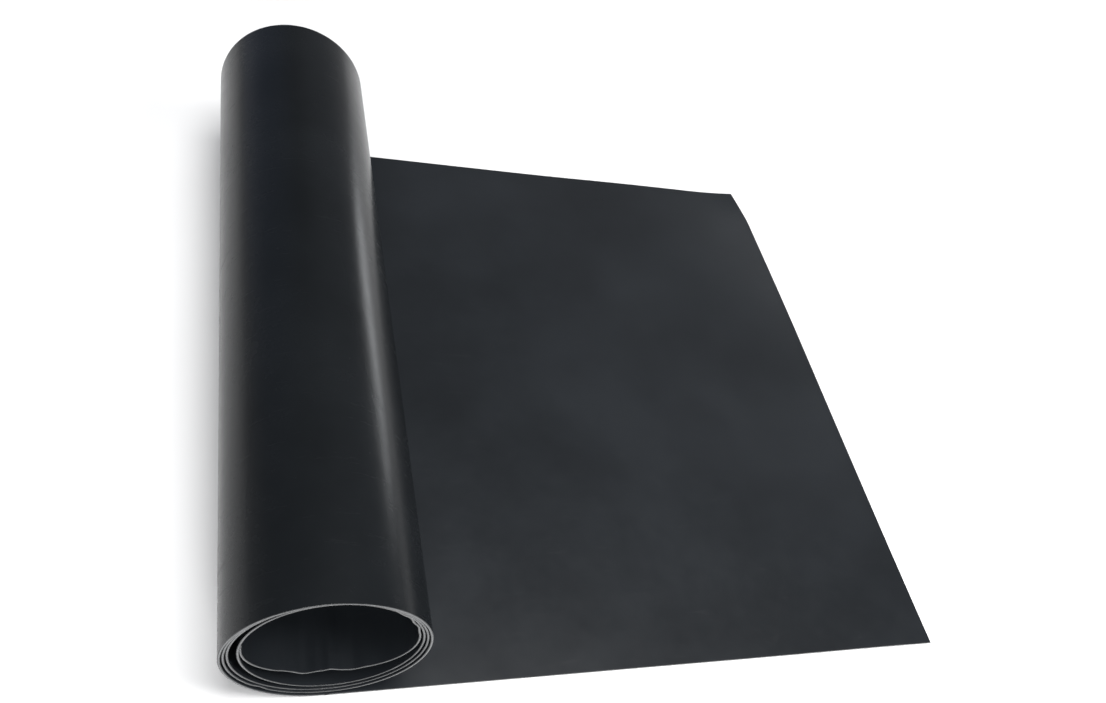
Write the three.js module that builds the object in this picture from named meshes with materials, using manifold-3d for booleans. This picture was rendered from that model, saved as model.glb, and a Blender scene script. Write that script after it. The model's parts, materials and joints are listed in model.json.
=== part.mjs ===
// Seedling heat mat, a thin flexible laminate lying partly rolled up.
// X runs across the flat part to its free edge, Y along the roll's axis, Z up. Millimetres.
import * as THREE from 'three';
import { mergeVertices } from 'three/addons/utils/BufferGeometryUtils.js';
import Module from 'manifold-3d';

const wasm = await Module();
wasm.setup();

// The mat
const MAT_WIDTH = 508;          // along the roll's axis
const FLAT_REACH = 440;         // from under the roll's axis to the free edge
const ROLL_RADIUS = 57.5;       // outside of the roll
const BOTTOM_COVER = 0.5;       // plies, from the floor up
const HEATING_FILM = 0.2;
const TOP_COVER = 0.5;
const PLY_GAP = 0.1;
const SHEET = BOTTOM_COVER + HEATING_FILM + TOP_COVER + 2 * PLY_GAP;
const WELD_MARGIN = 8;          // rim where the covers close on each other
const FILM_MARGIN = 11;         // bare cover round the heating film

// The roll
const TURNS = 4.26;
const TURN_PITCH = 1.9;         // one turn to the next
const PINCH_DEPTH = 4.7;        // the last turn leans in where the inner end meets it
const PINCH_TURN = 3.25;
const DROOP_DEPTH = 18;         // the loose inner turn hangs clear of the turn below
const DROOP_TURN = 4.0;
const END_STANDOFF = 5;
const PATH_STEPS = 250;
const FILM_STEPS = PATH_STEPS - 2;  // the film stops short of the inner end

// The roll-up bends
const BENDS = 12;
const BEND_ANGLE = THREE.MathUtils.degToRad(30);
const BEND_GAP = 0.3;
const WRAP_GROWTH = 4 / BENDS;  // each strip wraps this much further out than the last

// The lead inlet, on the inner end of the sheet at its far corner
const INLET_FROM = 4.01;        // the sheet lies straight under it between these turns
const INLET_TO = 4.19;
const INLET_LENGTH = 28;        // along the sheet
const INLET_WIDTH = 46;         // along the roll's axis
const INLET_EDGE = 8;           // from the sheet's far edge
const INLET_LIFT = 0.4;
const BASE_THICK = 3;
const SEAL_THICK = 0.8;
const COVER_HEIGHT = 8.5;
const COVER_WALL = 1.8;
const BOSS = 3.2;               // half width of a screw boss
const SCREW_INSET = 4;
const SCREW_RADIUS = 1.4;
const SCREW_CLEAR = 1.6;
const SCREW_HEAD = 2.6;
const LEAD_BORE = 2.6;
const BUSH_RADIUS = 3.6;
const FIT = 0.3;

const SHEET_LENGTH_LEFT = FLAT_REACH + ROLL_RADIUS - TURN_PITCH / 4;
const AXIS_X = -SHEET_LENGTH_LEFT / 2 + ROLL_RADIUS - TURN_PITCH / 4;
const AXIS_Z = ROLL_RADIUS;

const COVER_BLACK = { color: 0x1b1e21, roughness: 0.42, metalness: 0 };
const FILM_AMBER = { color: 0x3a2c1c, roughness: 0.35, metalness: 0 };
const MOULDED_BLACK = { color: 0x161719, roughness: 0.55, metalness: 0 };
const SEAL_GREY = { color: 0x2b2b2b, roughness: 0.85, metalness: 0 };
const BRASS = { color: 0xb08d4a, roughness: 0.3, metalness: 1 };
const STEEL = { color: 0x9a9ca0, roughness: 0.3, metalness: 1 };
const CUTOUT_WHITE = { color: 0xd8d6cf, roughness: 0.45, metalness: 0 };

function part(name, geometry, look) {
  const mesh = new THREE.Mesh(geometry, new THREE.MeshStandardMaterial(look));
  mesh.name = name;
  return mesh;
}

function bump(u, centre, half) {
  const d = (u - centre) / half;
  return Math.abs(d) < 1 ? 0.5 * (1 + Math.cos(Math.PI * d)) : 0;
}

// Middle of the sheet at u turns in from the floor, seen from the near end
function spiralPoint(u) {
  const standoff = END_STANDOFF * THREE.MathUtils.smoothstep(u, 3.6, 4.2);
  const lean = PINCH_DEPTH * bump(u, PINCH_TURN, 0.3) + DROOP_DEPTH * bump(u, DROOP_TURN, 0.26);
  const r = ROLL_RADIUS - SHEET / 2 - TURN_PITCH * u - lean - standoff;
  const a = -Math.PI / 2 - 2 * Math.PI * u;
  return new THREE.Vector3(AXIS_X + r * Math.cos(a), 0, AXIS_Z + r * Math.sin(a));
}

// The sheet's middle line, from the first bend under the roll and in to the inner end
class SheetPath extends THREE.Curve {
  constructor(startX, steps) {
    super();
    this.points = [new THREE.Vector3(startX, 0, SHEET / 2)];
    for (let u = 0; u <= TURNS; u += 1 / 240) {
      if (u <= INLET_FROM || u >= INLET_TO) this.points.push(spiralPoint(u));
    }
    this.at = [0];
    for (let i = 1; i < this.points.length; i += 1) {
      this.at.push(this.at[i - 1] + this.points[i].distanceTo(this.points[i - 1]));
    }
    this.reach = this.at[this.at.length - 1] * (steps / PATH_STEPS);
  }

  pointAlong(s) {
    const i = Math.max(this.at.findIndex((v) => v >= s), 1);
    const k = (s - this.at[i - 1]) / (this.at[i] - this.at[i - 1]);
    return new THREE.Vector3().lerpVectors(this.points[i - 1], this.points[i], k);
  }

  getPointAt(t) {
    return this.pointAlong(t * this.reach);
  }

  // The section's width stays along the roll's axis all the way round
  computeFrenetFrames(segments) {
    const frames = { tangents: [], normals: [], binormals: [] };
    for (let i = 0; i <= segments; i += 1) {
      const s = (i / segments) * this.reach;
      const ahead = this.pointAlong(Math.min(s + 1, this.at[this.at.length - 1]));
      const behind = this.pointAlong(Math.max(s - 1, 0));
      const tangent = ahead.sub(behind).normalize();
      const normal = new THREE.Vector3(0, -1, 0);
      frames.tangents.push(tangent);
      frames.normals.push(normal);
      frames.binormals.push(new THREE.Vector3().crossVectors(tangent, normal));
    }
    return frames;
  }
}

// A cover's section across the mat: a thin skin with a rim that closes on the other cover
function coverSection(outer, inner, rim) {
  const half = MAT_WIDTH / 2;
  const shape = new THREE.Shape();
  shape.moveTo(-half, outer);
  shape.lineTo(half, outer);
  shape.lineTo(half, rim);
  shape.lineTo(half - WELD_MARGIN, rim);
  shape.lineTo(half - WELD_MARGIN, inner);
  shape.lineTo(-half + WELD_MARGIN, inner);
  shape.lineTo(-half + WELD_MARGIN, rim);
  shape.lineTo(-half, rim);
  shape.closePath();
  return shape;
}

function bottomSection() {
  return coverSection(-SHEET / 2, -SHEET / 2 + BOTTOM_COVER, -PLY_GAP / 2);
}

function topSection() {
  return coverSection(SHEET / 2, SHEET / 2 - TOP_COVER, PLY_GAP / 2);
}

function filmSection() {
  const half = MAT_WIDTH / 2 - FILM_MARGIN;
  const shape = new THREE.Shape();
  shape.moveTo(-half, -HEATING_FILM / 2);
  shape.lineTo(half, -HEATING_FILM / 2);
  shape.lineTo(half, HEATING_FILM / 2);
  shape.lineTo(-half, HEATING_FILM / 2);
  shape.closePath();
  return shape;
}

function sweep(section, path, steps) {
  return new THREE.ExtrudeGeometry(section, { steps, extrudePath: path });
}

// Straight run of a section between two X stations, lying on the floor
function flatRun(section, fromX, toX) {
  const geometry = new THREE.ExtrudeGeometry(section, {
    depth: toX - fromX, bevelEnabled: false,
  });
  const lay = new THREE.Matrix4().makeBasis(
    new THREE.Vector3(0, 1, 0),
    new THREE.Vector3(0, 0, 1),
    new THREE.Vector3(1, 0, 0),
  );
  geometry.applyMatrix4(lay);
  geometry.translate(fromX, 0, SHEET / 2);
  return geometry;
}

// Distance of a wrapped strip's inner face from the roll's axis
function wrapRadius(k) {
  return ROLL_RADIUS - SHEET + WRAP_GROWTH * k;
}

// X of each bend, from the roll out to the free end
function bendStations() {
  const s = Math.sin(BEND_ANGLE);
  const c = Math.cos(BEND_ANGLE);
  const out = [AXIS_X + (wrapRadius(1) - wrapRadius(0) * c) / s];
  for (let k = 1; k < BENDS; k += 1) {
    out.push(out[k - 1] + (wrapRadius(k - 1) + wrapRadius(k + 1) - 2 * wrapRadius(k) * c) / s);
  }
  return out;
}

function rolledSheet(bends) {
  const startX = bends[0] - BEND_GAP / 2;
  const whole = new SheetPath(startX, PATH_STEPS);
  const film = new SheetPath(startX, FILM_STEPS);
  const group = new THREE.Group();
  group.add(part('bottom_cover_roll', sweep(bottomSection(), whole, PATH_STEPS), COVER_BLACK));
  group.add(part('heating_film_roll', sweep(filmSection(), film, FILM_STEPS), FILM_AMBER));
  group.add(part('top_cover_roll', sweep(topSection(), whole, PATH_STEPS), COVER_BLACK));
  return group;
}

function strip(label, fromX, toX) {
  const a = fromX + BEND_GAP / 2;
  const b = toX - BEND_GAP / 2;
  const group = new THREE.Group();
  group.add(part(`bottom_cover_${label}`, flatRun(bottomSection(), a, b), COVER_BLACK));
  group.add(part(`heating_film_${label}`, flatRun(filmSection(), a, b), FILM_AMBER));
  group.add(part(`top_cover_${label}`, flatRun(topSection(), a, b), COVER_BLACK));
  return group;
}

function fromManifold(solid) {
  const mesh = solid.getMesh();
  const geometry = new THREE.BufferGeometry();
  geometry.setAttribute('position', new THREE.BufferAttribute(mesh.vertProperties, 3));
  geometry.setIndex(new THREE.BufferAttribute(mesh.triVerts, 1));
  geometry.computeVertexNormals();
  return geometry;
}

// A closed geometry as a solid that can be joined and cut
function toManifold(geometry) {
  geometry.deleteAttribute('normal');
  geometry.deleteAttribute('uv');
  const merged = mergeVertices(geometry, 1e-4);
  return new wasm.Manifold(new wasm.Mesh({
    numProp: 3,
    vertProperties: new Float32Array(merged.getAttribute('position').array),
    triVerts: new Uint32Array(merged.getIndex().array),
  }));
}

function block(x0, x1, y0, y1, z0, z1) {
  const box = new THREE.BoxGeometry(x1 - x0, y1 - y0, z1 - z0);
  box.translate((x0 + x1) / 2, (y0 + y1) / 2, (z0 + z1) / 2);
  return toManifold(box);
}

// Upright cylinder standing at x, y between two heights
function post(radius, x, y, z0, z1) {
  const pin = new THREE.CylinderGeometry(radius, radius, z1 - z0, 24);
  pin.rotateX(Math.PI / 2);
  pin.translate(x, y, (z0 + z1) / 2);
  return toManifold(pin);
}

// The free end's covers close on each other along the free edge as well
function freeEndCover(fromX, toX, skin, rim) {
  const half = MAT_WIDTH / 2;
  const x0 = fromX + BEND_GAP / 2;
  const whole = block(x0, toX, -half, half, Math.min(...skin, ...rim), Math.max(...skin, ...rim));
  const pocketZ = [Math.min(...rim), Math.max(...rim)];
  const pocket = block(
    x0 - 1, toX - WELD_MARGIN,
    -half + WELD_MARGIN, half - WELD_MARGIN,
    pocketZ[0] - (rim[0] < skin[0] ? 1 : 0), pocketZ[1] + (rim[1] > skin[1] ? 1 : 0),
  );
  return fromManifold(whole.subtract(pocket));
}

function freeEnd(fromX) {
  const toX = AXIS_X + FLAT_REACH;
  const mid = SHEET / 2;
  const group = new THREE.Group();
  const lower = freeEndCover(fromX, toX, [0, BOTTOM_COVER], [BOTTOM_COVER, mid - PLY_GAP / 2]);
  const upper = freeEndCover(fromX, toX, [SHEET - TOP_COVER, SHEET], [mid + PLY_GAP / 2, SHEET - TOP_COVER]);
  const film = flatRun(filmSection(), fromX + BEND_GAP / 2, toX - FILM_MARGIN);
  group.add(part('bottom_cover_free_end', lower, COVER_BLACK));
  group.add(part('heating_film_free_end', film, FILM_AMBER));
  group.add(part('top_cover_free_end', upper, COVER_BLACK));
  return group;
}

// Everything below is drawn flat: X along the sheet, Y along the roll's axis, Z off the sheet
function screwSpots() {
  const x = INLET_LENGTH / 2 - SCREW_INSET;
  const y = INLET_WIDTH / 2 - SCREW_INSET;
  return [[x, y], [-x, y], [-x, -y], [x, -y]];
}

function platePlan(inset) {
  const x = INLET_LENGTH / 2 - inset;
  const y = INLET_WIDTH / 2 - inset;
  const shape = new THREE.Shape();
  shape.moveTo(-x, -y);
  shape.lineTo(x, -y);
  shape.lineTo(x, y);
  shape.lineTo(-x, y);
  shape.closePath();
  return shape;
}

function drill(shape, radius) {
  for (const [x, y] of screwSpots()) {
    const hole = new THREE.Path();
    hole.absarc(x, y, radius, 0, 2 * Math.PI, true);
    shape.holes.push(hole);
  }
}

function inletBase() {
  const shape = platePlan(0);
  drill(shape, SCREW_RADIUS + 0.1);
  const geometry = new THREE.ExtrudeGeometry(shape, {
    depth: BASE_THICK, bevelEnabled: false, curveSegments: 12,
  });
  return part('inlet_base', geometry, MOULDED_BLACK);
}

function inletSeal() {
  const x = INLET_LENGTH / 2;
  const y = INLET_WIDTH / 2;
  let ring = block(-x, x, -y, y, 0, SEAL_THICK);
  ring = ring.subtract(block(-x + COVER_WALL, x - COVER_WALL, -y + 2 * BOSS + 1, y - 2 * BOSS - 1, -1, 2));
  ring = ring.subtract(block(-x + 2 * BOSS + 1, x - 2 * BOSS - 1, -y + COVER_WALL, y - COVER_WALL, -1, 2));
  for (const [a, b] of screwSpots()) {
    ring = ring.subtract(post(SCREW_CLEAR, a, b, -1, 2));
  }
  return part('inlet_seal', fromManifold(ring), SEAL_GREY);
}

function inletCover() {
  const x = INLET_LENGTH / 2;
  const y = INLET_WIDTH / 2;
  const h = COVER_HEIGHT;
  const roof = h - COVER_WALL;
  let shell = block(-x, x, -y, y, 0, h);
  const across = block(-x + COVER_WALL, x - COVER_WALL, -y + 2 * BOSS + 1, y - 2 * BOSS - 1, -1, roof);
  const along = block(-x + 2 * BOSS + 1, x - 2 * BOSS - 1, -y + COVER_WALL, y - COVER_WALL, -1, roof);
  shell = shell.subtract(across).subtract(along);
  for (const [a, b] of screwSpots()) {
    shell = shell.subtract(post(SCREW_CLEAR, a, b, -1, h + 1));
    shell = shell.subtract(post(SCREW_HEAD + FIT, a, b, h - 2, 2 * h));
  }
  const mouth = new THREE.CylinderGeometry(BUSH_RADIUS + 0.1, BUSH_RADIUS + 0.1, COVER_WALL * 4, 32);
  mouth.translate(0, y, leadHeight());
  return part('inlet_cover', fromManifold(shell.subtract(toManifold(mouth))), MOULDED_BLACK);
}

function leadHeight() {
  return BUSH_RADIUS + 0.5;
}

// Grooved bush the supply lead passes through
function leadBush() {
  const reach = COVER_WALL + 2 * 1.6;
  const profile = [
    new THREE.Vector2(LEAD_BORE, 0),
    new THREE.Vector2(BUSH_RADIUS, 0),
    new THREE.Vector2(BUSH_RADIUS, reach - 1.6 + FIT),
    new THREE.Vector2(BUSH_RADIUS + 0.9, reach - 1.6 + FIT),
    new THREE.Vector2(BUSH_RADIUS + 0.9, reach + 1),
    new THREE.Vector2(LEAD_BORE + 0.5, reach + 3),
    new THREE.Vector2(LEAD_BORE, reach + 3),
    new THREE.Vector2(LEAD_BORE, 0),
  ];
  return part('lead_bush', new THREE.LatheGeometry(profile, 32), SEAL_GREY);
}

// Bent tab that takes one core of the lead down to the film
function terminalTab(name) {
  const shape = new THREE.Shape();
  shape.moveTo(0, 0);
  shape.lineTo(6, 0);
  shape.lineTo(6, 0.8);
  shape.lineTo(0.8, 0.8);
  shape.lineTo(0.8, 4.5);
  shape.lineTo(0, 4.5);
  shape.closePath();
  return part(name, new THREE.ExtrudeGeometry(shape, { depth: 5, bevelEnabled: false }), BRASS);
}

function thermalCutout() {
  const profile = [
    new THREE.Vector2(0, 0),
    new THREE.Vector2(1.6, 0),
    new THREE.Vector2(2.1, 0.5),
    new THREE.Vector2(2.1, 11.5),
    new THREE.Vector2(1.6, 12),
    new THREE.Vector2(0, 12),
  ];
  return part('thermal_cutout', new THREE.LatheGeometry(profile, 24), CUTOUT_WHITE);
}

function inletScrew(index) {
  const top = COVER_HEIGHT - 0.2;
  const under = COVER_HEIGHT - 2 + 0.1;
  const tip = -SEAL_THICK - 2 * PLY_GAP - BASE_THICK + 0.4;
  const profile = [
    new THREE.Vector2(0, tip),
    new THREE.Vector2(SCREW_RADIUS - 0.4, tip),
    new THREE.Vector2(SCREW_RADIUS, tip + 0.4),
    new THREE.Vector2(SCREW_RADIUS, under),
    new THREE.Vector2(SCREW_HEAD, under),
    new THREE.Vector2(SCREW_HEAD, top - 0.5),
    new THREE.Vector2(SCREW_HEAD - 0.6, top),
    new THREE.Vector2(0, top),
  ];
  const screw = part(`inlet_screw_${index}`, new THREE.LatheGeometry(profile, 24), STEEL);
  screw.rotation.x = Math.PI / 2;
  return screw;
}

function leadInlet() {
  const seal = BASE_THICK + PLY_GAP;
  const cover = seal + SEAL_THICK + PLY_GAP;
  const inlet = new THREE.Group();
  inlet.add(inletBase());
  const ring = inletSeal();
  ring.position.z = seal;
  inlet.add(ring);
  const lid = inletCover();
  lid.position.z = cover;
  inlet.add(lid);
  const bush = leadBush();
  bush.position.set(0, INLET_WIDTH / 2 - COVER_WALL - 1.6, cover + leadHeight());
  inlet.add(bush);
  for (const [name, side] of [['live_terminal', 1], ['neutral_terminal', -1]]) {
    const tab = terminalTab(name);
    tab.rotation.set(Math.PI / 2, 0, side > 0 ? 0 : Math.PI, 'ZXY');
    tab.position.set(side * 4, side > 0 ? 5 : 0, BASE_THICK + FIT);
    inlet.add(tab);
  }
  const cutout = thermalCutout();
  cutout.position.set(0, -16, BASE_THICK + FIT + 2.1);
  inlet.add(cutout);
  screwSpots().forEach(([x, y], i) => {
    const screw = inletScrew(i + 1);
    screw.position.set(x, y, cover);
    inlet.add(screw);
  });
  return inlet;
}

function placeInlet(inlet) {
  const from = spiralPoint(INLET_FROM);
  const to = spiralPoint(INLET_TO);
  const across = new THREE.Vector3(0, 1, 0);
  const off = new THREE.Vector3().crossVectors(across, to.clone().sub(from)).normalize();
  const along = new THREE.Vector3().crossVectors(across, off);
  const middle = from.clone().lerp(to, 0.5);
  middle.addScaledVector(off, SHEET / 2 + INLET_LIFT);
  middle.y = MAT_WIDTH / 2 - INLET_EDGE - INLET_WIDTH / 2;
  inlet.quaternion.setFromRotationMatrix(new THREE.Matrix4().makeBasis(along, across, off));
  inlet.position.copy(middle);
  return inlet;
}

const mat = new THREE.Group();
mat.name = 'seedling_heat_mat';
const bends = bendStations();
mat.add(rolledSheet(bends));
mat.add(placeInlet(leadInlet()));
for (let k = 1; k < BENDS; k += 1) {
  const label = String(BENDS - k).padStart(2, '0');
  mat.add(strip(`strip_${label}`, bends[k - 1], bends[k]));
}
mat.add(freeEnd(bends[BENDS - 1]));

export default mat;
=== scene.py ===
import json
import math

import bpy
import numpy as np
from mathutils import Matrix, Vector


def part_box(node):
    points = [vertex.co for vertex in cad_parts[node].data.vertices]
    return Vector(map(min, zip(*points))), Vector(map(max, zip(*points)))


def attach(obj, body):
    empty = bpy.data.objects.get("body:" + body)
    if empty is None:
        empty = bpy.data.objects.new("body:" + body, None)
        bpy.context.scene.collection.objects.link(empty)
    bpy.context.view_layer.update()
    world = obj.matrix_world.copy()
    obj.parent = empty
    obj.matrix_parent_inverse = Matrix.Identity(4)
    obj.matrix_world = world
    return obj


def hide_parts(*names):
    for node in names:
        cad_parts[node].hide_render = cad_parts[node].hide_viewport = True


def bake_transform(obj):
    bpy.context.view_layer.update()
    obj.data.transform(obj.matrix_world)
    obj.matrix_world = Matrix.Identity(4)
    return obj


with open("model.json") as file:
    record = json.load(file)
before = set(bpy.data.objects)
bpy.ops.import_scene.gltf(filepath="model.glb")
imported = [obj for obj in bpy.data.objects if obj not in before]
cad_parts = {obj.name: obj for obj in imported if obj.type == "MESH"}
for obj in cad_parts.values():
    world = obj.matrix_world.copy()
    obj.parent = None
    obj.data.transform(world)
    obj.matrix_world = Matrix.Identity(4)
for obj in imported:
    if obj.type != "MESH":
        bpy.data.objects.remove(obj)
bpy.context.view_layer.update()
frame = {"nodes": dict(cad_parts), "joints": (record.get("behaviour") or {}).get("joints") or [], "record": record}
JOINTS = {j["name"]: j for j in frame["joints"]}
BENDS = len(JOINTS)

# The mat, in metres and turns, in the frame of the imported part
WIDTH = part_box("bottom_cover_free_end")[1].y * 2
FREE_EDGE_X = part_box("bottom_cover_free_end")[1].x
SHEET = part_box("top_cover_free_end")[1].z
FLAT_REACH = 0.440
AXIS_X = FREE_EDGE_X - FLAT_REACH
ROLL_RADIUS = 0.0575
TURNS = 4.26
TURN_PITCH = 0.0019
TURN_RECESS = 0.00105
PINCH_DEPTH, PINCH_TURN = 0.0047, 3.25
DROOP_DEPTH, DROOP_TURN = 0.018, 4.0
END_STANDOFF = 0.005
SEAT_FROM, SEAT_TO = 4.01, 4.19
OVAL_RISE, OVAL_LEAN = 0.0007, math.radians(84)
FAR_SHRINK = 0.0004
FAR_DRIFT = 0.0009
FLOOR_SOFTNESS = 0.0002
CORNER_REACH, CORNER_PULL, CORNER_LIFT = 0.042, 0.0066, 0.0016
BEVEL = 0.00018
ACROSS, ACROSS_ROLL = 73, 97
STEPS_FREE_END, STEPS_BEND, STEPS_PER_TURN = 22, 19, 130


def smooth(x, a, b):
    t = np.clip((x - a) / (b - a), 0, 1)
    return t * t * (3 - 2 * t)


def hump(x, centre, half):
    d = (x - centre) / half
    return np.where(np.abs(d) < 1, 0.5 * (1 + np.cos(np.pi * np.clip(d, -1, 1))), 0)


# ---------------------------------------------------------------- the sheet's shape

def near_share(y, reach=0.2):
    """1 at the roll's near end, falling to 0 over reach."""
    return 1 - smooth(y, -WIDTH / 2, -WIDTH / 2 + reach)


def far_share(y):
    """0 at the roll's near end, 1 at its far end."""
    return np.clip((y + WIDTH / 2) / WIDTH, 0, 1)


def outer_radius(y, angle):
    """The roll is round at its near end and stands slightly oval at its far end, taller
    than it is wide."""
    far = far_share(y)
    return ROLL_RADIUS - FAR_SHRINK * far + OVAL_RISE * far * np.cos(2 * (angle - OVAL_LEAN))


def roll_point(u, y):
    """Middle of the sheet at u turns in, before the seat for the inlet is straightened.
    Each turn sits a little further back along the roll than the one outside it."""
    near = near_share(y, 0.12)
    pitch = TURN_PITCH + 0.0001 * near
    standoff = (END_STANDOFF - 0.0024 * near) * smooth(u, 3.6, 4.2)
    lean = PINCH_DEPTH * (1 - 0.28 * near) * hump(u, PINCH_TURN, 0.30)
    lean = lean + (DROOP_DEPTH - 0.0030 * near) * hump(u, DROOP_TURN, 0.26)
    angle = -math.pi / 2 - 2 * math.pi * u
    # the loose turn ripples where nothing holds it, most of all at its near edge
    ripple = 0.0024 * hump(u, 4.055, 0.040) - 0.0018 * hump(u, 3.985, 0.030)
    ripple = ripple + 0.0012 * hump(u, 3.93, 0.03) - 0.0007 * hump(u, 4.11, 0.02)
    ripple = ripple * near_share(y, 0.09)
    # the turn outside it has one small kink at its lower left
    ripple = ripple - 0.0011 * hump(u, 1.115, 0.022) * near_share(y, 0.05)
    # faint crushes on the upper right of the inner turn
    crush = np.sin(u * 150 + y * 90 + 1.7 * np.sin(y * 130)) * hump(u, 3.66, 0.09)
    crush = 0.0005 * crush * near_share(y, 0.16)
    r = outer_radius(y, angle) - SHEET / 2 - pitch * u - lean - standoff + ripple + crush
    cx = AXIS_X - FAR_DRIFT * far_share(y)
    cz = outer_radius(y, -math.pi / 2)
    z = cz + r * np.sin(angle)
    floor_ = SHEET / 2 + pitch * u
    above = np.clip((z - floor_) / FLOOR_SOFTNESS, -50, 600)
    z = floor_ + FLOOR_SOFTNESS * np.logaddexp(0, above)
    return np.stack([cx + r * np.cos(angle), y + TURN_RECESS * u, z], -1)


def rolled(u, y):
    """roll_point with the straight seat the lead inlet is bonded to, towards the far end."""
    p = roll_point(u, y)
    a, b = roll_point(np.full_like(u, SEAT_FROM), y), roll_point(np.full_like(u, SEAT_TO), y)
    k = (u - SEAT_FROM) / (SEAT_TO - SEAT_FROM)
    inside = ((k > 0) & (k < 1)).astype(float) * smooth(y, -0.05, 0.10)
    chord = a + (b - a) * k[..., None]
    return p + (chord - p) * inside[..., None]


def flat_height(x, y):
    """How far the flat part lifts off the floor: barely, most near its free edge."""
    out = smooth(x, AXIS_X + 0.10, FREE_EDGE_X)
    wave = 0.0011 * hump(y, 0.115, 0.16) * smooth(x, FREE_EDGE_X - 0.15, FREE_EDGE_X)
    wave = wave + 0.0006 * hump(y, -0.12, 0.15) * hump(x, FREE_EDGE_X - 0.11, 0.12)
    wave = wave + 0.0004 * (1 + np.sin(x * 31 + y * 17)) * out
    return wave + CORNER_LIFT * corner_share(x, y) ** 2


def corner_share(x, y):
    """1 at the free edge's far corner, which is curled a little, falling to 0 round it."""
    d = np.hypot((FREE_EDGE_X - x) * 0.8, WIDTH / 2 - y)
    return np.clip(1 - d / CORNER_REACH, 0, 1)


def flat_point(x, y):
    """Middle of the sheet where it lies flat; its far edge bows in slightly."""
    px = x - CORNER_PULL * corner_share(x, y) ** 1.4
    bow = 0.0010 * hump(x, (AXIS_X + FREE_EDGE_X) / 2, 0.26) * smooth(y, 0.15, WIDTH / 2)
    return np.stack([px, y - bow, SHEET / 2 + flat_height(x, y)], -1)


# ---------------------------------------------------------------- meshes

def unit(v):
    return v / np.maximum(np.linalg.norm(v, axis=-1, keepdims=True), 1e-12)


def shell(name, points, normals, along, ends, materials):
    """A closed laminate of the sheet's thickness about a grid of its middle surface.
    points is (n, m, 3), n along the sheet and m across it. along is each row's distance
    from the free edge. ends says whether the first and last rows are cut edges."""
    n, m = points.shape[:2]
    half = SHEET / 2
    side = unit(points[:, -1] - points[:, 0])
    inset = np.zeros((n, m, 3))
    inset[:, 0] += side * BEVEL
    inset[:, -1] -= side * BEVEL
    if ends[0]:
        inset[0] += unit(points[1] - points[0]) * BEVEL
    if ends[1]:
        inset[-1] += unit(points[-2] - points[-1]) * BEVEL
    top = points + normals * half + inset
    bottom = points - normals * half + inset
    verts = [top.reshape(-1, 3), bottom.reshape(-1, 3)]
    loop = [(i, 0) for i in range(n)]
    loop += [(n - 1, j) for j in range(1, m)]
    loop += [(i, m - 1) for i in range(n - 2, -1, -1)]
    loop += [(0, j) for j in range(m - 2, 0, -1)]
    li = np.array(loop)
    rim = points[li[:, 0], li[:, 1]]
    rn = normals[li[:, 0], li[:, 1]]
    verts += [rim + rn * (half - BEVEL), rim - rn * (half - BEVEL)]
    verts = np.concatenate(verts)
    faces, kinds = [], []
    index = np.arange(n * m).reshape(n, m)
    a, b, c, d = index[:-1, :-1], index[1:, :-1], index[1:, 1:], index[:-1, 1:]
    quads = np.stack([a, b, c, d], -1).reshape(-1, 4)
    faces += [quads, quads[:, ::-1] + n * m]
    kinds += [np.zeros(len(quads), int), np.ones(len(quads), int)]
    base = 2 * n * m
    count = len(loop)
    k = np.arange(count)
    k2 = (k + 1) % count
    flat = li[:, 0] * m + li[:, 1]
    t1, t2 = flat[k], flat[k2]
    faces.append(np.stack([t1, t2, base + k2, base + k], -1)[:, ::-1])
    faces.append(np.stack([base + k, base + k2, base + count + k2, base + count + k], -1)[:, ::-1])
    faces.append(np.stack([base + count + k, base + count + k2, t2 + n * m, t1 + n * m], -1)[:, ::-1])
    kinds += [np.full(count, 2)] * 3
    faces = np.concatenate(faces)
    kinds = np.concatenate(kinds)
    me = bpy.data.meshes.new(name)
    me.from_pydata(verts.tolist(), [], faces.tolist())
    for mat in materials:
        me.materials.append(mat)
    me.polygons.foreach_set("material_index", kinds)
    me.polygons.foreach_set("use_smooth", np.ones(len(faces), bool))
    s = np.repeat(along[:, None], m, 1).reshape(-1)
    y = points[..., 1].reshape(-1)
    rim_s, rim_y = along[li[:, 0]], rim[:, 1]
    vs = np.concatenate([s, s, rim_s, rim_s])
    vy = np.concatenate([y, y, rim_y, rim_y])
    depth = np.concatenate([np.full(n * m, 1.0), np.full(n * m, 0.0),
                            np.full(count, 0.9), np.full(count, 0.1)])
    uv = me.uv_layers.new(name="sheet")
    loops = np.empty(len(me.loops), int)
    me.loops.foreach_get("vertex_index", loops)
    uv.data.foreach_set("uv", np.stack([vs[loops], vy[loops]], -1).astype(np.float32).ravel())
    ply = me.attributes.new("ply", "FLOAT", "POINT")
    ply.data.foreach_set("value", depth.astype(np.float32))
    me.validate()
    ob = bpy.data.objects.new(name, me)
    bpy.context.scene.collection.objects.link(ob)
    return ob


def mark_sharp(ob, degrees=35):
    """Keeps the faces' shading apart from the cut rim's."""
    me = ob.data
    kinds = np.empty(len(me.polygons), int)
    me.polygons.foreach_get("material_index", kinds)
    pairs = {}
    for p, kind in zip(me.polygons, kinds):
        if kind == 2:
            continue
        for e in p.edge_keys:
            pairs.setdefault(e, []).append(kind)
    sharp = np.zeros(len(me.edges), bool)
    for i, e in enumerate(me.edges):
        got = pairs.get(tuple(sorted(e.vertices)))
        sharp[i] = got is not None and len(got) == 1
    att = me.attributes.get("sharp_edge") or me.attributes.new("sharp_edge", "BOOLEAN", "EDGE")
    att.data.foreach_set("value", sharp)


# ---------------------------------------------------------------- materials

def tree(name):
    mat = bpy.data.materials.new(name)
    mat.use_nodes = True
    nt = mat.node_tree
    nt.nodes.clear()
    out = nt.nodes.new("ShaderNodeOutputMaterial")
    bsdf = nt.nodes.new("ShaderNodeBsdfPrincipled")
    nt.links.new(bsdf.outputs[0], out.inputs[0])
    return mat, nt, bsdf


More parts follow.
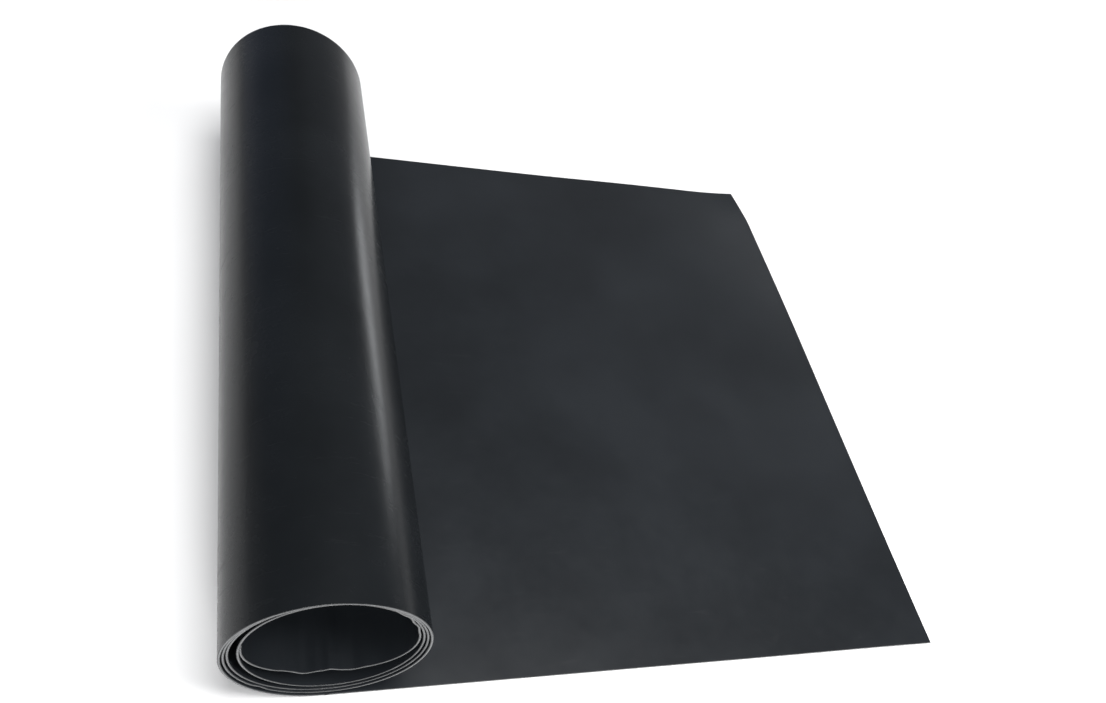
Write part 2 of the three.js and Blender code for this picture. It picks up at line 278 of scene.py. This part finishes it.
def node(nt, kind, **values):
    nd = nt.nodes.new(kind)
    for key, value in values.items():
        if hasattr(nd, key):
            setattr(nd, key, value)
        else:
            nd.inputs[key.replace("_", " ")].default_value = value
    return nd


def noise(nt, vector, scale, detail=3.0, rough=0.5, stretch=None):
    if stretch:
        mp = node(nt, "ShaderNodeMapping")
        mp.inputs["Scale"].default_value = stretch
        nt.links.new(vector, mp.inputs["Vector"])
        vector = mp.outputs[0]
    nz = node(nt, "ShaderNodeTexNoise")
    nz.inputs["Scale"].default_value = scale
    nz.inputs["Detail"].default_value = detail
    nz.inputs["Roughness"].default_value = rough
    nt.links.new(vector, nz.inputs["Vector"])
    return nz.outputs["Fac"]


def ramp(nt, fac, stops):
    rp = node(nt, "ShaderNodeValToRGB")
    el = rp.color_ramp.elements
    while len(el) < len(stops):
        el.new(0.5)
    for e, (pos, value) in zip(el, stops):
        e.position = pos
        e.color = (*value, 1) if hasattr(value, "__len__") else (value, value, value, 1)
    nt.links.new(fac, rp.inputs[0])
    return rp.outputs[0]


def mix(nt, a, b, fac, blend="MIX"):
    mx = node(nt, "ShaderNodeMix", data_type="RGBA", blend_type=blend)
    for sock, value in ((6, a), (7, b), (0, fac)):
        if isinstance(value, (int, float)):
            mx.inputs[sock].default_value = value
        elif isinstance(value, tuple):
            mx.inputs[sock].default_value = (*value, 1)
        else:
            nt.links.new(value, mx.inputs[sock])
    return mx.outputs[2]


def math_node(nt, op, a, b=None, clamp=False):
    nd = node(nt, "ShaderNodeMath", operation=op, use_clamp=clamp)
    for i, value in enumerate((a, b)):
        if value is None:
            continue
        if isinstance(value, (int, float)):
            nd.inputs[i].default_value = value
        else:
            nt.links.new(value, nd.inputs[i])
    return nd.outputs[0]


def bump(nt, bsdf, height, strength, distance):
    bp = node(nt, "ShaderNodeBump")
    bp.inputs["Strength"].default_value = strength
    bp.inputs["Distance"].default_value = distance
    nt.links.new(height, bp.inputs["Height"])
    nt.links.new(bp.outputs[0], bsdf.inputs["Normal"])
    return bp


def sheet_black(name, base, rough, ior, dust):
    """Calendered black plastic: a soft satin with a fine grain, faint handling scuffs
    along the sheet and a little dust."""
    mat, nt, bsdf = tree(name)
    uv = node(nt, "ShaderNodeUVMap")
    uv.uv_map = "sheet"
    vec = uv.outputs[0]
    cloud = noise(nt, vec, 7.0, 4.0, 0.55)
    fine = noise(nt, vec, 95.0, 5.0, 0.62)
    scuff = noise(nt, vec, 26.0, 6.0, 0.7, stretch=(1.0, 7.0, 1.0))
    speck = noise(nt, vec, 900.0, 2.0, 0.5)
    tone = mix(nt, tuple(c * 0.82 for c in base), tuple(c * 1.22 for c in base),
               ramp(nt, cloud, [(0.36, 0.0), (0.66, 1.0)]))
    worn = ramp(nt, scuff, [(0.60, 0.0), (0.76, 1.0)])
    tone = mix(nt, tone, (0.030, 0.032, 0.034), math_node(nt, "MULTIPLY", worn, 0.22 * dust))
    flecks = ramp(nt, speck, [(0.70, 0.0), (0.78, 1.0)])
    patch = ramp(nt, noise(nt, vec, 13.0, 3.0, 0.6), [(0.50, 0.0), (0.70, 1.0)])
    flecks = math_node(nt, "MULTIPLY", flecks, patch)
    tone = mix(nt, tone, (0.085, 0.088, 0.090), math_node(nt, "MULTIPLY", flecks, 0.55 * dust))
    nt.links.new(tone, bsdf.inputs["Base Color"])
    rg = ramp(nt, math_node(nt, "ADD", math_node(nt, "MULTIPLY", cloud, 0.6),
                            math_node(nt, "MULTIPLY", fine, 0.4)),
              [(0.32, rough[0]), (0.68, rough[1])])
    rg = math_node(nt, "ADD", rg, math_node(nt, "MULTIPLY", worn, 0.10))
    nt.links.new(rg, bsdf.inputs["Roughness"])
    bsdf.inputs["IOR"].default_value = ior
    grain = noise(nt, vec, 1500.0, 2.0, 0.5)
    height = math_node(nt, "ADD", math_node(nt, "MULTIPLY", grain, 0.05),
                       math_node(nt, "MULTIPLY", fine, 0.35))
    height = math_node(nt, "ADD", height, math_node(nt, "MULTIPLY", cloud, 1.6))
    bump(nt, bsdf, height, 0.35, 0.0004)
    return mat


def cut_edge():
    """The sheet's cut rim: dark, with the paler line of the film between its covers."""
    mat, nt, bsdf = tree("cut_edge")
    uv = node(nt, "ShaderNodeUVMap")
    uv.uv_map = "sheet"
    ply = node(nt, "ShaderNodeAttribute", attribute_name="ply")
    drag = noise(nt, uv.outputs[0], 60.0, 4.0, 0.6)
    base = ramp(nt, drag, [(0.3, (0.014, 0.015, 0.016)), (0.7, (0.026, 0.027, 0.028))])
    line = ramp(nt, ply.outputs["Fac"], [(0.22, 0.0), (0.38, 1.0), (0.58, 1.0), (0.74, 0.0)])
    pale = ramp(nt, drag, [(0.3, (0.075, 0.079, 0.083)), (0.7, (0.15, 0.154, 0.158))])
    nt.links.new(mix(nt, base, pale, line), bsdf.inputs["Base Color"])
    rg = ramp(nt, drag, [(0.3, 0.20), (0.7, 0.38)])
    nt.links.new(rg, bsdf.inputs["Roughness"])
    bump(nt, bsdf, noise(nt, uv.outputs[0], 700.0, 3.0, 0.6), 0.3, 0.0001)
    return mat


def object_noise(nt, scale, detail=3.0):
    tc = node(nt, "ShaderNodeTexCoord")
    return noise(nt, tc.outputs["Object"], scale, detail)


def plain_plastic(name, low, high, rough, grain_scale, grain):
    mat, nt, bsdf = tree(name)
    cloud = object_noise(nt, 120.0)
    nt.links.new(ramp(nt, cloud, [(0.3, low), (0.7, high)]), bsdf.inputs["Base Color"])
    nt.links.new(ramp(nt, cloud, [(0.3, rough[0]), (0.7, rough[1])]), bsdf.inputs["Roughness"])
    bump(nt, bsdf, object_noise(nt, grain_scale), grain, 0.0001)
    return mat


def metal(name, low, high, rough):
    mat, nt, bsdf = tree(name)
    cloud = object_noise(nt, 300.0, 5.0)
    nt.links.new(ramp(nt, cloud, [(0.3, low), (0.7, high)]), bsdf.inputs["Base Color"])
    nt.links.new(ramp(nt, cloud, [(0.3, rough[0]), (0.7, rough[1])]), bsdf.inputs["Roughness"])
    bsdf.inputs["Metallic"].default_value = 1.0
    bump(nt, bsdf, object_noise(nt, 1500.0), 0.12, 0.00005)
    return mat


# The tray face shows on the flat and inside the roll, the floor face only on the roll's outside. The floor face's
# base colour, darker than the tray face's, is painted shade on the roll's outer turns; its lower roughness and IOR
# are its own glossier finish.
TRAY_FACE = sheet_black("tray_face_black", (0.0098, 0.0116, 0.0138), (0.27, 0.36), 1.40, 0.5)
FLOOR_FACE_PAINTED_SHADE = sheet_black("floor_face_black_painted_shade", (0.0076, 0.0088, 0.0100), (0.22, 0.30), 1.22, 0.35)
CUT_EDGE = cut_edge()
SHEET_MATERIALS = (TRAY_FACE, FLOOR_FACE_PAINTED_SHADE, CUT_EDGE)
INLET_LOOKS = {
    "inlet_moulding": plain_plastic("inlet_black", (0.010, 0.011, 0.012), (0.018, 0.019, 0.021),
                                    (0.42, 0.55), 2500.0, 0.5),
    "seal_rubber": plain_plastic("seal_rubber", (0.018, 0.018, 0.018), (0.030, 0.030, 0.030),
                                 (0.70, 0.85), 1800.0, 0.4),
    "cutout_body": plain_plastic("cutout_white", (0.62, 0.60, 0.55), (0.72, 0.70, 0.65),
                                 (0.35, 0.50), 900.0, 0.15),
    "terminal_brass": metal("terminal_brass", (0.60, 0.44, 0.20), (0.72, 0.56, 0.29), (0.22, 0.38)),
    "screw_steel": metal("screw_steel", (0.50, 0.51, 0.53), (0.66, 0.67, 0.69), (0.20, 0.35)),
}

# ---------------------------------------------------------------- the sheet, piece by piece

HINGE_X = {name: j["pos_m"][0] for name, j in JOINTS.items()}
order = [f"bend_{k:02d}" for k in range(1, BENDS + 1)]
stations = [HINGE_X[n] for n in order]
mid_x = [(a + b) / 2 for a, b in zip(stations, stations[1:])]
first_cut = stations[0] + (stations[0] - mid_x[0])
last_cut = stations[-1] - (mid_x[-1] - stations[-1])
cuts = [first_cut, *mid_x, last_cut]


def across(n=ACROSS):
    """Stations across the sheet, closer together towards both ends of the roll."""
    t = np.linspace(-1, 1, n)
    return WIDTH / 2 * np.sin(t * math.pi / 2 * 0.55) / math.sin(math.pi / 2 * 0.55)


def flat_piece(name, x0, x1, steps, ends):
    """From x0 down to x1 along the flat, in the direction the sheet runs in to the roll."""
    xs = np.linspace(x0, x1, steps)
    ys = across()
    gx, gy = np.meshgrid(xs, ys, indexing="ij")
    points = flat_point(gx, gy)
    h = 1e-4
    du = flat_point(gx - h, gy) - flat_point(gx + h, gy)
    dv = flat_point(gx, gy + h) - flat_point(gx, gy - h)
    normals = unit(np.cross(dv, du))
    ob = shell(name, points, normals, FREE_EDGE_X - xs, ends, SHEET_MATERIALS)
    mark_sharp(ob)
    return ob


def roll_piece():
    """From the last bend in under the roll, round its turns and in to the loose inner end."""
    ys = across(ACROSS_ROLL)
    lead = np.linspace(last_cut, AXIS_X + 0.004, 6)[:-1]
    u = np.arange(0, TURNS + 1e-9, 1 / STEPS_PER_TURN)
    u = np.append(u, TURNS)
    gx, gy = np.meshgrid(lead, ys, indexing="ij")
    flat = flat_point(gx, gy)
    gu, gy2 = np.meshgrid(u, ys, indexing="ij")
    wound = rolled(gu, gy2)
    points = np.concatenate([flat, wound])
    du = np.gradient(points, axis=0)
    dv = np.gradient(points, ys, axis=1)
    normals = unit(np.cross(dv, du))
    step = np.linalg.norm(np.diff(points[:, len(ys) // 2], axis=0), axis=1)
    along = FREE_EDGE_X - last_cut + np.concatenate([[0], np.cumsum(step)])
    ob = shell("sheet_roll", points, normals, along, (False, True), SHEET_MATERIALS)
    mark_sharp(ob)
    return ob, along[-1]


free_end = flat_piece("sheet_free_end", FREE_EDGE_X, first_cut, STEPS_FREE_END,
                      (True, False))
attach(free_end, "free_end")
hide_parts("bottom_cover_free_end", "heating_film_free_end", "top_cover_free_end")
for k, name in enumerate(order):
    joint = JOINTS[name]
    x0, x1 = cuts[k], cuts[k + 1]
    piece = flat_piece(f"sheet_{name}", x0, x1, STEPS_BEND, (False, False))
    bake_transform(piece)
    child = joint["child"]
    if child != "roll":
        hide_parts(f"bottom_cover_{child}", f"heating_film_{child}", f"top_cover_{child}")
wound, total_length = roll_piece()
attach(wound, "roll")
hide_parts("bottom_cover_roll", "heating_film_roll", "top_cover_roll")

# ---------------------------------------------------------------- the lead inlet

SLOT_OF = {s["node"]: s["material_slot"] for s in frame["record"]["subparts"]}
for name, ob in frame["nodes"].items():
    look = INLET_LOOKS.get(SLOT_OF.get(name))
    if look is None or ob.hide_render:
        continue
    ob.data.materials.clear()
    ob.data.materials.append(look)
    soft = ob.modifiers.new("edge", "BEVEL")
    soft.width = 0.0004 if name in ("inlet_cover", "inlet_base") else 0.00012
    soft.segments = 3
    soft.limit_method = "ANGLE"
    soft.angle_limit = math.radians(40)
    soft.harden_normals = False

# ---------------------------------------------------------------- floor, light, camera

FLOOR_HALF, FLOOR_DROP = 8.0, 0.0004


def floor():
    me = bpy.data.meshes.new("floor")
    s = FLOOR_HALF
    me.from_pydata([(-s, -s, 0), (s, -s, 0), (s, s, 0), (-s, s, 0)], [], [(0, 1, 2, 3)])
    ob = bpy.data.objects.new("floor", me)
    bpy.context.scene.collection.objects.link(ob)
    ob.location.z = -FLOOR_DROP
    mat, nt, bsdf = tree("floor_white")
    tone = ramp(nt, object_noise(nt, 3.0), [(0.3, (0.86, 0.86, 0.86)), (0.7, (0.90, 0.90, 0.90))])
    nt.links.new(tone, bsdf.inputs["Base Color"])
    bsdf.inputs["Roughness"].default_value = 0.9
    bsdf.inputs["Specular IOR Level"].default_value = 0.1
    ob.data.materials.append(mat)
    return ob


floor()


def area(name, location, target, size, power, colour=(1, 1, 1)):
    """A soft rectangular lamp, pointed at target."""
    light = bpy.data.lights.new(name, "AREA")
    light.shape = "RECTANGLE"
    light.size, light.size_y = size
    light.energy = power
    light.color = colour
    ob = bpy.data.objects.new(name, light)
    bpy.context.scene.collection.objects.link(ob)
    ob.location = location
    ob.rotation_mode = "QUATERNION"
    ob.rotation_quaternion = (Vector(target) - Vector(location)).to_track_quat("-Z", "Y")
    return ob


area("overhead", (0.30, -0.45, 2.6), (0.30, -0.10, 0), (1.6, 1.6), 66)
area("far_side", (2.2, -1.1, 2.1), (0.6, 0.6, 0), (1.2, 1.2), 56)
area("behind_camera", (-0.45, -2.4, 1.25), (-0.1, 0, 0), (1.3, 0.9), 60)
area("low_window", (1.70, 1.60, 0.26), (-0.15, -0.1, 0.10), (0.9, 0.36), 8, (0.96, 0.98, 1.0))

world = bpy.data.worlds.new("studio")
bpy.context.scene.world = world
world.use_nodes = True
wt = world.node_tree
wt.nodes.clear()
w_out = wt.nodes.new("ShaderNodeOutputWorld")
w_bg = wt.nodes.new("ShaderNodeBackground")
wt.links.new(w_bg.outputs[0], w_out.inputs[0])
w_tc = wt.nodes.new("ShaderNodeTexCoord")


def lobe(azimuth, elevation, width, colour):
    """A soft bright patch of the room: azimuth from +Y towards +X, degrees."""
    a, e = math.radians(azimuth), math.radians(elevation)
    to = (math.sin(a) * math.cos(e), math.cos(a) * math.cos(e), math.sin(e))
    dot = node(wt, "ShaderNodeVectorMath", operation="DOT_PRODUCT")
    dot.inputs[1].default_value = to
    wt.links.new(w_tc.outputs["Generated"], dot.inputs[0])
    fall = node(wt, "ShaderNodeMapRange", interpolation_type="SMOOTHSTEP")
    fall.inputs["From Min"].default_value = math.cos(math.radians(width))
    wt.links.new(dot.outputs["Value"], fall.inputs["Value"])
    return mix(wt, (0, 0, 0), colour, fall.outputs[0])


# The room is pale round the horizon and dark overhead
split = node(wt, "ShaderNodeSeparateXYZ")
wt.links.new(w_tc.outputs["Generated"], split.inputs[0])
walls = ramp(wt, split.outputs[2], [(0.0, (0.42, 0.42, 0.43)), (0.10, (0.36, 0.36, 0.37)),
                                    (0.34, (0.07, 0.07, 0.075))])
room = mix(wt, walls, lobe(36, 33, 34, (0.20, 0.21, 0.23)), 1.0, "ADD")
room = mix(wt, room, lobe(-28, 18, 30, (0.05, 0.09, 0.19)), 1.0, "ADD")
wt.links.new(room, w_bg.inputs["Color"])
w_bg.inputs["Strength"].default_value = 1.0

# Heading is from +Y towards +X. The picture's middle lies above the camera's axis, as in a
# cropped photograph
CAMERA_HEADING = math.radians(33.09)
CAMERA_DOWN = math.radians(50.56)
CAMERA_ROLL = math.radians(26.13)
CAMERA_AT = Vector((AXIS_X - 0.0437, -WIDTH / 2 - 0.2231, 0.5448))
CAMERA_LENS = 30.61
CAMERA_SHIFT = (-0.0334, 0.1162)
cam_data = bpy.data.cameras.new("camera")
cam_data.sensor_width = 36
cam_data.sensor_fit = "HORIZONTAL"
cam_data.lens = CAMERA_LENS
cam_data.shift_x, cam_data.shift_y = CAMERA_SHIFT
cam_data.clip_start, cam_data.clip_end = 0.01, 50
cam = bpy.data.objects.new("camera", cam_data)
bpy.context.scene.collection.objects.link(cam)
turn = Matrix.Rotation(-CAMERA_HEADING, 4, "Z")
turn = turn @ Matrix.Rotation(math.pi / 2 - CAMERA_DOWN, 4, "X")
turn = turn @ Matrix.Rotation(CAMERA_ROLL, 4, "Z")
cam.matrix_world = Matrix.Translation(CAMERA_AT) @ turn
bpy.context.scene.camera = cam
bpy.context.scene.view_settings.view_transform = "Standard"
